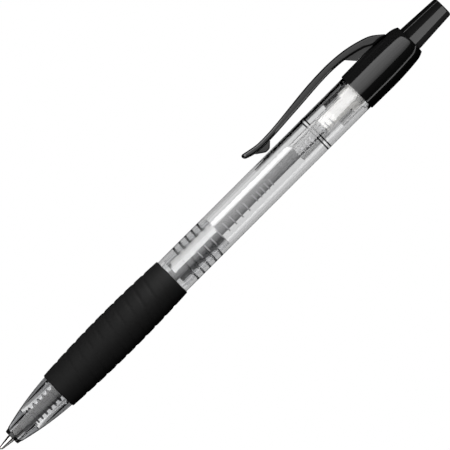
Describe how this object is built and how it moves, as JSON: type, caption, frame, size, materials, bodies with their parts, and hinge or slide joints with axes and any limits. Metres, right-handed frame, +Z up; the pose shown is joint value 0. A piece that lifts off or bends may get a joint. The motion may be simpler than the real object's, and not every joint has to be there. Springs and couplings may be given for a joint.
{
  "type": "retractable gel pen",
  "caption": "Click-action gel pen with a clear barrel, smoke-clear nose, black rubber grip, black cap, pocket clip and push button, tip out.",
  "frame": {"origin": "under the middle of the bounding box, on the surface that the pen lies on", "axes": "+X along the pen from the writing point to the button, +Y the side the pocket clip is on, +Z up"},
  "size_m": [0.145, 0.015, 0.011],
  "materials": {
    "smoke_clear_plastic": "clear smoke-grey moulded polystyrene",
    "black_bushing": "glossy black",
    "grip_rubber": "matte black with shallow grooves",
    "clear_plastic": "clear polished moulded polystyrene",
    "frosted_plastic": "translucent natural plastic",
    "black_plastic": "glossy black",
    "white_plastic": "natural white acetal",
    "ball_carbide": "polished tungsten carbide",
    "tip_metal": "bright turned nickel silver",
    "holder_plastic": "translucent smoke plastic",
    "tube_plastic": "clear extruded polypropylene",
    "black_ink": "black gel",
    "follower_grease": "clear amber grease",
    "spring_steel": "bright spring wire",
    "clip_plastic": "satin dark grey-black"
  },
  "bodies": {
    "barrel": {"front_barrel": "smoke_clear_plastic", "nose_bushing": "black_bushing", "rubber_grip": "grip_rubber", "rear_barrel": "clear_plastic", "cap_collar": "frosted_plastic", "rear_cap": "black_plastic", "cam_sleeve": "frosted_plastic", "return_spring": "spring_steel"},
    "refill": {"tip_ball": "ball_carbide", "writing_tip": "tip_metal", "tip_holder": "holder_plastic", "ink_tube": "tube_plastic", "ink_column": "black_ink", "grease_plug": "follower_grease", "spring_collar": "white_plastic", "refill_holder": "frosted_plastic"},
    "rotor": {"cam_rotor": "white_plastic"},
    "button": {"push_button": "black_plastic", "cam_plunger": "white_plastic"},
    "clip": {"pocket_clip": "clip_plastic"}
  },
  "joints": [
    {"name": "refill_slide", "type": "slide", "parent": "barrel", "child": "refill", "axis": [1, 0, 0], "range_m": [-0.0012, 0.0055], "deforming": ["return_spring"]},
    {"name": "button_slide", "type": "slide", "parent": "barrel", "child": "button", "axis": [1, 0, 0], "range_m": [-0.0012, 0.0055]},
    {"name": "rotor_turn", "type": "hinge", "parent": "refill", "child": "rotor", "pos_m": [0.0425, -0.00196, 0.00551], "axis": [1, 0, 0], "range_deg": [-10, 45.1]},
    {"name": "clip_flex", "type": "hinge", "parent": "barrel", "child": "clip", "pos_m": [0.05845, 0.00249, 0.00551], "axis": [0, 0, -1], "range_deg": [0, 4], "stiffness_Nm_per_rad": 3.3}
  ],
  "couplings": [
    {"joint": "button_slide", "follows": "refill_slide", "ratio": 1},
    {"joint": "rotor_turn", "follows": "refill_slide", "rad_per_m": 142.8}
  ]
}
